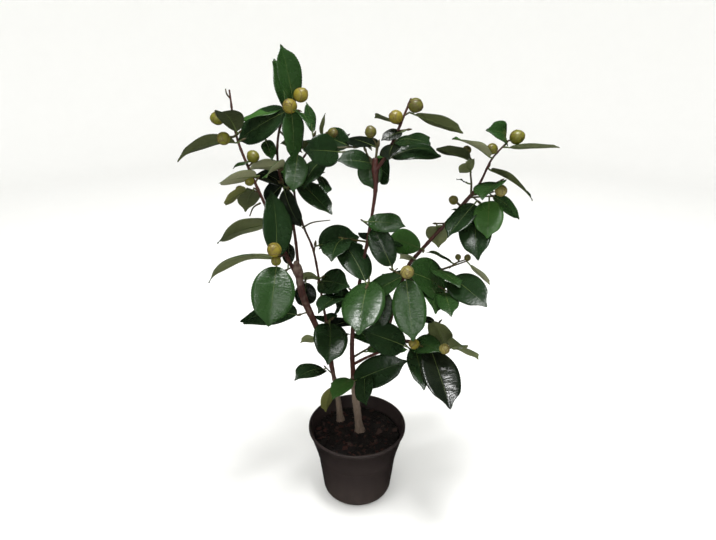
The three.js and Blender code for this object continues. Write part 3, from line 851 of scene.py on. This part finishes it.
            ("bough_front_right", 1, (63, -42, 392), [(-80, -55, 80, 0.55, -15, 20, "green")]),
        ],
        "foliage_low_right": [
            ("bough_lower_right", 0.55, (76, -20, 277), [(-55, 15, 60, 0.55, -30, 40, "green")]),
            ("bough_lower_right", 0.68, (80, -26, 278), [(-85, -15, 75, 0.45, 5, 20, "dark")]),
            ("bough_lower_right", 0.84, (101, -34, 280), [(-80, -20, 95, 0.55, 5, 10, "deep")]),
            ("bough_lower_right", 1, (132, -30, 275), [
                (-135, 60, 60, 0.55, -25, 20, "dark"), (-75, 35, 45, 0.6, 35, 30, "green"),
                (30, -35, 60, 0.4, 30, 40, "green"),
            ]),
            ("bough_lower_right", 0.77, (113, -23, 310), [(135, -5, 20, 0.5, 65, 30, "deep")]),
            ("bough_lower_right", 0.6, (72, -26, 273), [(-160, 30, 75, 0.6, 60, 30, "dark")]),
        ],
        "foliage_back_right": [
            ("bough_right", 0.85, (95, 70, 335), [
                (10, -15, 75, 0.55, 0), (120, -15, 75, 0.55, 0, 30, "dark"), (60, -10, 80, 0.5, 0),
            ]),
        ],
        "foliage_back_right_upper": [
            ("bough_right_outer", 0.9, (155, 62, 432), [
                (60, -20, 70, 0.55, 0), (80, -15, 70, 0.55, 0), (90, -25, 75, 0.5, 0),
            ]),
        ],
    },
}

# Where the flower buds sit, how wide they are, and how ripe they look
BUDS = [
    (-67, -6, 611, 17, "ripe"), (-80, -12, 599, 17, "ripe"), (-166, -18, 586, 16, "green"),
    (-156, -40, 566, 15, "green"), (-128, -14, 539, 15, "green"), (-133, -22, 510, 11, "green"),
    (-146, -22, 499, 11, "green"), (-98, -84, 443, 17, "ripe"), (-97, -82, 428, 12, "green"),
    (-31, 26, 561, 13, "olive"), (17, -8, 568, 14, "olive"), (47, -16, 587, 16, "ripe"),
    (70, -12, 600, 17, "olive"), (173, 14, 543, 14, "green"), (204, 18, 557, 18, "green"),
    (142, 20, 540, 11, "olive"), (186, 0, 492, 15, "pale"), (129, 18, 474, 12, "olive"),
    (64, -52, 400, 17, "pale"), (139, 8, 396, 8, "olive"), (152, 8, 395, 9, "olive"),
    (76, -60, 299, 14, "ripe"), (116, -66, 295, 14, "pale"),
]
# Bare and forked twigs that carry no leaves
BARE_TWIGS = [
    ([(23, -8, 530), (24, -8, 552), (19, -8, 562)], [1.5, 1.1, 0.9]),
    ([(-122, -18, 481), (-131, -20, 476), (-137, -20, 464)], [1.4, 1.0, 0.8]),
    ([(-73, 22, 436), (-84, 18, 452), (-90, 14, 472)], [1.3, 1.0, 0.8]),
    ([(48, -20, 412), (47, -35, 394), (53, -40, 400)], [1.3, 1.0, 0.8]),
    ([(127, 5, 381), (138, 8, 388), (146, 8, 391), (152, 8, 393)], [1.4, 1.1, 0.9]),
    ([(-151, -10, 608), (-154, -12, 613), (-155, -12, 619)], [1.1, 1.0, 0.7]),
    ([(-75, 20, 434), (-61, 19, 442), (-36, 18, 446)], [1.3, 1.0, 0.7]),
]
BEND_AT_NODE = 0.7
TIP_RADIUS = 1.05
STALK_RADIUS = 1.5
BUD_ROOM = 16  # a flower bud this near a tip leaves no room for a leaf bud
# Reach and radius of the rings of a leaf bud
LEAF_BUD = [(1, 1.25), (2.4, 1.6), (4.2, 1.5), (6.2, 1.0), (7.6, 0.45), (8.2, 0.1)]
twig_random = random.Random(5)


def heading_vector(heading, pitch):
    """The direction of a heading from +X round +Z and a pitch above level, both in degrees."""
    h, p = math.radians(heading), math.radians(pitch)
    return Vector((math.cos(p) * math.cos(h), math.cos(p) * math.sin(h), math.sin(p)))


shoots = [
    (piece, f"{mass} {number}", shoot)
    for piece, masses in CROWN.items()
    for mass, group in masses.items()
    for number, shoot in enumerate(group)
]
twig_lines = []
leaf_places = {piece: [] for piece in CROWN}
for piece, shoot_name, (limb, along, tip, leaves) in shoots:
    limb_line = [spot for spot, _ in wood[limb]]
    foot = at(limb_line, along)
    tip = Vector(tip)
    nodes = []
    for i, leaf in enumerate(leaves):
        node_place = foot.lerp(tip, (i + 1) / len(leaves))
        leaf_places[piece].append((node_place, leaf, f"{shoot_name} {i}"))
        bend = Vector([twig_random.uniform(-1, 1) for _ in range(3)]) * BEND_AT_NODE
        nodes.append(node_place + bend * (i + 1 < len(leaves)))
    length = (tip - foot).length
    thick = 1.15 + min(length, 90) / 110
    line = smooth_line([foot, *nodes], 1.5)
    last = len(line) - 1
    rings = [(spot, thick + (TIP_RADIUS - thick) * i / last) for i, spot in enumerate(line)]
    heading = (line[-1] - line[-2]).normalized()
    crowded = any((Vector(bud[:3]) - tip).length < BUD_ROOM for bud in BUDS)
    if crowded:
        rings += [(tip + heading * 0.8, 0.8), (tip + heading * 1.2, 0.3)]
    else:
        size = twig_random.uniform(0.8, 1.3)
        rings += [(tip + heading * reach * size, width * size) for reach, width in LEAF_BUD]
    twig_lines.append(rings)
for points, radii in BARE_TWIGS:
    line = smooth_line(points, 1.5)
    last = len(line) - 1
    twig_lines.append([(spot, at(radii, i / last)) for i, spot in enumerate(line)])

# Short stalks carry the flower buds on the nearest twig or limb.
carriers = [ring for line in [*twig_lines, *wood.values()] for ring in line]
near_wood = KDTree(len(carriers))
for index, (spot, _) in enumerate(carriers):
    near_wood.insert(spot, index)
near_wood.balance()
bud_places = []
for x, y, z, width, ripeness in BUDS:
    centre = Vector((x, y, z))
    spot, _, distance = near_wood.find(centre)
    outward = (centre - spot).normalized()
    seat = centre - outward * width * 0.45
    bud_places.append((centre, outward, width, ripeness))
    if distance > width * 0.45:
        middle = spot.lerp(seat, 0.5) + Vector((0, 0, -0.08 * distance))
        line = smooth_line([spot, middle, seat, seat + outward * width * 0.1], 1.2)
        twig_lines.append([(ring, STALK_RADIUS) for ring in line])

twigs = tubes("twigs", twig_lines, 2)
# Bark of the current year's wood: green to light brown, with a slight gloss.
twig_bark, tree, shader = new_material("green_twig_bark", "4f4a26", 0.5)
patches = cloudy(tree, object_place(tree), 60, 4)
tone = between(tree, patches, linear("40261a"), linear("454a24"))
tree.links.new(tone, shader.inputs["Base Color"])
twigs.data.materials.append(twig_bark)
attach(twigs, "root")


# ---------------------------------------------------------------------------------------------
# Leaves. Each is a leathery oval blade with a drawn-out tip and a toothed edge, folded along its
# midrib and bent over its length, on a short thick petiole that runs on as the midrib.

BLADE_ROWS = 44
BLADE_COLUMNS = 10
BLADE_THICKNESS = 0.45
PETIOLE = 7
PETIOLE_RADIUS = 1.15
DROOP = 30
VEIN_PAIRS = 7
VEIN_DEPTH = 0.22
EDGE_WAVES = 1.6
TEETH = 0.35

bpy.ops.object.select_all(action="DESELECT")
bpy.ops.mesh.primitive_grid_add(x_subdivisions=BLADE_ROWS, y_subdivisions=BLADE_COLUMNS, size=1)
flat_blade = bpy.context.object
blade_grid = [
    (vertex.co.x + 0.5, -vertex.co.y * 2, round((vertex.co.x + 0.5) * BLADE_ROWS))
    for vertex in flat_blade.data.vertices
]


def outline(t, fullness):
    """Half width of a blade at t along it, as a share of its greatest: an oval that is broadest
    below the middle, and narrows over its last fifth to a short drawn-out tip."""
    start, end = 0.58 * fullness, 0.7 * fullness
    widest = start / (start + end)
    oval = (t / widest) ** start * ((1 - t) / (1 - widest)) ** end
    nearing = min(max((t - 0.78) / 0.17, 0), 1)
    return oval * (1 - 0.5 * nearing * nearing * (3 - 2 * nearing))


def blade_frame(heading, pitch, roll):
    """The leaf's own axes: along it, across it, and up out of its upper face."""
    along = heading_vector(heading, pitch)
    across = along.cross(Vector((0, 0, 1))).normalized()
    up = across.cross(along)
    turn = Matrix.Rotation(-math.radians(roll), 3, along)
    return along, turn @ across, turn @ up


def leaf_shape(node_place, leaf, leaf_random):
    """The places of a leaf's grid and the rings of its petiole and midrib, in millimetres."""
    heading, pitch, length, share, roll, droop, *_ = (*leaf, DROOP)
    along, across, up = blade_frame(heading, pitch, roll)
    base = node_place + heading_vector(heading, pitch) * PETIOLE
    droop = math.radians(droop * leaf_random.uniform(0.85, 1.15))
    twist = math.radians(leaf_random.gauss(0, 8))
    fold = math.tan(math.radians(leaf_random.uniform(8, 20)))
    cup = leaf_random.uniform(0.15, 0.5)
    wave = leaf_random.uniform(0.3, 1.3)
    wave_start = leaf_random.uniform(0, 2 * math.pi)
    tip_turn = math.radians(leaf_random.uniform(5, 35))
    fullness = leaf_random.uniform(0.94, 1.06)
    half = length * share / 2

    # The midrib: an arch over the length, its tip turned down a little more.
    slopes = [
        droop / 2 - droop * i / BLADE_ROWS - tip_turn * max(0, i / BLADE_ROWS - 0.75) * 2
        for i in range(BLADE_ROWS + 1)
    ]
    centres = [base]
    for slope in slopes[:-1]:
        step = along * math.cos(slope) + up * math.sin(slope)
        centres.append(centres[-1] + step * (length / BLADE_ROWS))
    places = []
    for t, s, row in blade_grid:
        slope = slopes[row]
        out = up * math.cos(slope) - along * math.sin(slope)
        angle = twist * (t - 0.5)
        side = across * math.cos(angle) + out * math.sin(angle)
        lift = out * math.cos(angle) - across * math.sin(angle)
        width = half * outline(t, fullness)
        tooth = TEETH * (row % 2) * (abs(s) > 0.99) * (0.1 < t < 0.97)
        across_by = s * max(width - tooth, 0)
        away = abs(across_by)
        rise = away * fold - cup * half * 0.5 * (away / half) ** 2
        rise += wave * math.sin(2 * math.pi * EDGE_WAVES * t + wave_start + s) * s * s
        vein = math.cos(2 * math.pi * VEIN_PAIRS * (t - 0.16 * abs(s)))
        rise += VEIN_DEPTH * vein * (1 - abs(s)) * min(1, away / 3)
        places.append(centres[row] + side * across_by + lift * rise)

    start = along * math.cos(slopes[0]) + up * math.sin(slopes[0])
    petiole = smooth_line([node_place, base - start * 2.2, base], 1.0)
    rings = [(spot, PETIOLE_RADIUS) for spot in petiole[:-1]]
    for row in range(0, BLADE_ROWS + 1, 2):
        t = row / BLADE_ROWS
        out = up * math.cos(slopes[row]) - along * math.sin(slopes[row])
        radius = 0.14 + (PETIOLE_RADIUS - 0.4) * (1 - t) ** 1.3
        rings.append((centres[row] - out * (0.55 * radius + 0.05), radius))
    return places, rings


# Leaf skin. The upper face is waxy and dark green, glossy enough to mirror a lamp as a white
# streak, and dulls with age. The underside is mat and paler. Each leaf takes one of these tones
# by how dark or light it looks: partly the real spread from old to young leaves, and partly
# painted light, the near-black deep tone being painted shade deep in the crown and the grey
# bright underside a painted reflection.
UPPERS = {
    # name: colour, roughness, share among the leaves whose tone is left out
    # The near-black deep tone is partly painted shade on the leaves deep in the crown.
    "deep": ("131a11", 0.22, 5),
    "dark": ("192b15", 0.24, 9),
    "green": ("223b19", 0.26, 5),
    "bright": ("305220", 0.3, 1),
    "old": ("6b6422", 0.45, 0),
}
UNDERSIDES = {
    # The pale grey bright underside is partly a painted reflection, and deep is partly painted
    # shade.
    "deep": "37401f", "dark": "4a522a", "green": "626a40", "bright": "868866", "old": "6c6f38",
}
VEIN_RIPPLES = 24
leaf_skins = []


def leaf_skin(name, colour, roughness, dapple):
    """A leaf face: its green varies a little over a couple of centimetres, and ripples that run
    out from the midrib with the side veins break up the gloss into streaks."""
    skin, tree, shader = new_material(name, colour, roughness)
    drift = cloudy(tree, object_place(tree), 45, 3)
    shift = spread(tree, drift, 1 - dapple, 1 + dapple)
    tone = {"Value": shift, "Color": linear(colour)}
    varied = add_node(tree, "ShaderNodeHueSaturation", inputs=tone)
    tree.links.new(varied.outputs[0], shader.inputs["Base Color"])
    # The wax is thinner in patches, so the gloss breaks off there.
    gloss = spread(tree, drift, roughness * 0.8, roughness * 1.3, 0.25, 0.75)
    tree.links.new(gloss, shader.inputs["Roughness"])
    blade_uv = add_node(tree, "ShaderNodeTexCoord").outputs["UV"]
    stretch = {"Vector": blade_uv, "Scale": (VEIN_RIPPLES, 5, 1)}
    along_veins = add_node(tree, "ShaderNodeMapping", inputs=stretch).outputs[0]
    pattern = {"Vector": along_veins, "Scale": 1, "Detail": 4, "Roughness": 0.6}
    ripples = add_node(tree, "ShaderNodeTexNoise", inputs=pattern).outputs["Fac"]
    raised(tree, shader, ripples, 0.6, 1.2)
    leaf_skins.append(skin)


for name, (colour, roughness, _) in UPPERS.items():
    leaf_skin("waxy_leaf_" + name, colour, roughness, 0.25)
for name, colour in UNDERSIDES.items():
    leaf_skin("mat_underside_" + name, colour, 0.6, 0.15)
# The midrib is paler than the blade, and yellower where the sap runs near its skin.
midrib, tree, shader = new_material("pale_midrib", "4c5c2c", 0.45)
patches = cloudy(tree, object_place(tree), 90, 2)
tone = between(tree, patches, linear("3c4d22"), linear("5c6834"))
tree.links.new(tone, shader.inputs["Base Color"])
leaf_skins.append(midrib)
RIB_SLOT = len(leaf_skins) - 1

upper_names = list(UPPERS)
upper_shares = [amount for _, _, amount in UPPERS.values()]
for piece, places in leaf_places.items():
    blades = []
    rib_lines = []
    for node_place, leaf, leaf_name in places:
        blade = copied(flat_blade)
        leaf_random = random.Random(leaf_name)
        spots, rings = leaf_shape(node_place, leaf, leaf_random)
        for vertex, spot in zip(blade.data.vertices, spots):
            vertex.co = spot * MM
        rib_lines.append(rings)
        named = len(leaf) > 6
        tint = leaf[6] if named else leaf_random.choices(upper_names, upper_shares)[0]
        for skin in leaf_skins:
            blade.data.materials.append(skin)
        for face in blade.data.polygons:
            face.material_index = upper_names.index(tint)
            face.use_smooth = True
        blades.append(blade)
    made = joined(piece, blades)
    shell = made.modifiers.new("thickness", "SOLIDIFY")
    shell.thickness = BLADE_THICKNESS * MM
    shell.offset = -1
    shell.use_rim = True
    shell.material_offset = len(UPPERS)
    shell.material_offset_rim = 0
    bpy.ops.object.modifier_apply(modifier=shell.name)
    ribs = tubes(piece + "_ribs", rib_lines, 1)
    for skin in leaf_skins:
        ribs.data.materials.append(skin)
    for face in ribs.data.polygons:
        face.material_index = RIB_SLOT
    made = joined(piece, [made, ribs])
    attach(made, "root")
    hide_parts(*CROWN[piece])
bpy.data.objects.remove(flat_blade)


# ---------------------------------------------------------------------------------------------
# Flower buds. A fat bud of overlapping round scales, yellow-green, with thin papery brown edges.
# One is modelled a unit wide, standing on its stalk, and each bud is a copy at its own size.

# Waxy bud scales: yellow-green, a little darker or riper from bud to bud, the edges dry and brown.
BUD_TONES = {"green": "6a6c14", "ripe": "86781c", "olive": "44481c", "pale": "9a8f52"}


def bud_skin(name, colour, other_colour, roughness, scale):
    """Skin of a scale, which drifts between two colours."""
    skin, tree, shader = new_material(name, colour, roughness)
    drift = cloudy(tree, object_place(tree), scale, 3)
    tone = between(tree, drift, linear(colour), linear(other_colour))
    tree.links.new(tone, shader.inputs["Base Color"])
    return skin


bud_skins = {
    name: bud_skin("waxy_bud_scale_" + name, colour, "5f5a22", 0.4, 160)
    for name, colour in BUD_TONES.items()
}
dry_edge = bud_skin("dry_scale_edge", "3a2618", "6d5333", 0.7, 400)

BUD_SCALES = 9
SCALE_CELLS = 8
SCALE_REACH = math.radians(56)
GOLDEN_TURN = math.radians(137.5)
bud_random = random.Random(41)

scale_pieces = []
for i in range(BUD_SCALES):
    bpy.ops.object.select_all(action="DESELECT")
    bpy.ops.mesh.primitive_grid_add(x_subdivisions=SCALE_CELLS, y_subdivisions=SCALE_CELLS, size=2)
    bud_scale = bpy.context.object
    # The middle of the scale climbs the bud from the lowest, outermost scale to the innermost.
    climb = math.radians(-35 + 11 * i)
    turn = GOLDEN_TURN * i
    middle = Vector(
        (math.cos(climb) * math.cos(turn), math.cos(climb) * math.sin(turn), math.sin(climb))
    )
    east = Vector((-math.sin(turn), math.cos(turn), 0))
    north = middle.cross(east)
    for vertex in bud_scale.data.vertices:
        # Cells are narrow at the edge of the scale, where it is thin and papery.
        u, v = (math.copysign(1 - (1 - abs(c)) ** 1.8, c) for c in vertex.co[:2])
        disc_x, disc_y = u * math.sqrt(1 - v * v / 2), v * math.sqrt(1 - u * u / 2)
        reach = SCALE_REACH * math.hypot(disc_x, disc_y)
        bearing = math.atan2(disc_x, disc_y)
        outward = middle * math.cos(reach)
        outward += (east * math.sin(bearing) + north * math.cos(bearing)) * math.sin(reach)
        stand = 0.472 + 0.0035 * (BUD_SCALES - i) + 0.014 * max(0, disc_y) ** 3
        top = max(0, outward.z)
        vertex.co = outward * stand
        vertex.co.z *= 1 + 0.14 * top**3
    for skin in (bud_skins["green"], dry_edge):
        bud_scale.data.materials.append(skin)
    for face in bud_scale.data.polygons:
        # The outermost ring of cells is the dry edge.
        row, column = divmod(face.index, SCALE_CELLS)
        at_edge = min(row, column) == 0 or max(row, column) == SCALE_CELLS - 1
        face.material_index = int(at_edge)
    scale_pieces.append(bud_scale)
bud_scales = joined("bud_scales", scale_pieces)
paper = bud_scales.modifiers.new("thickness", "SOLIDIFY")
paper.thickness = 0.02
paper.offset = 1
bpy.ops.object.modifier_apply(modifier=paper.name)
bpy.ops.object.select_all(action="DESELECT")
bpy.ops.mesh.primitive_uv_sphere_add(segments=16, ring_count=12, radius=0.465)
bpy.context.object.data.materials.append(bud_skins["green"])
unit_bud = joined("unit_bud", [bud_scales, bpy.context.object])
selected_alone(unit_bud)
bpy.ops.object.shade_smooth_by_angle(angle=math.radians(50))

buds = []
for centre, outward, width, ripeness in bud_places:
    bud = copied(unit_bud)
    stand = outward.to_track_quat("Z", "Y").to_matrix().to_4x4()
    spin = Matrix.Rotation(bud_random.uniform(0, 2 * math.pi), 4, "Z")
    size = Matrix.Scale(width * MM, 4)
    bud.data.transform(Matrix.Translation(centre * MM) @ stand @ spin @ size)
    bud.data.materials[0] = bud_skins[ripeness]
    buds.append(bud)
bpy.data.objects.remove(unit_bud)
flower_buds = joined("flower_buds", buds)
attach(flower_buds, "root")
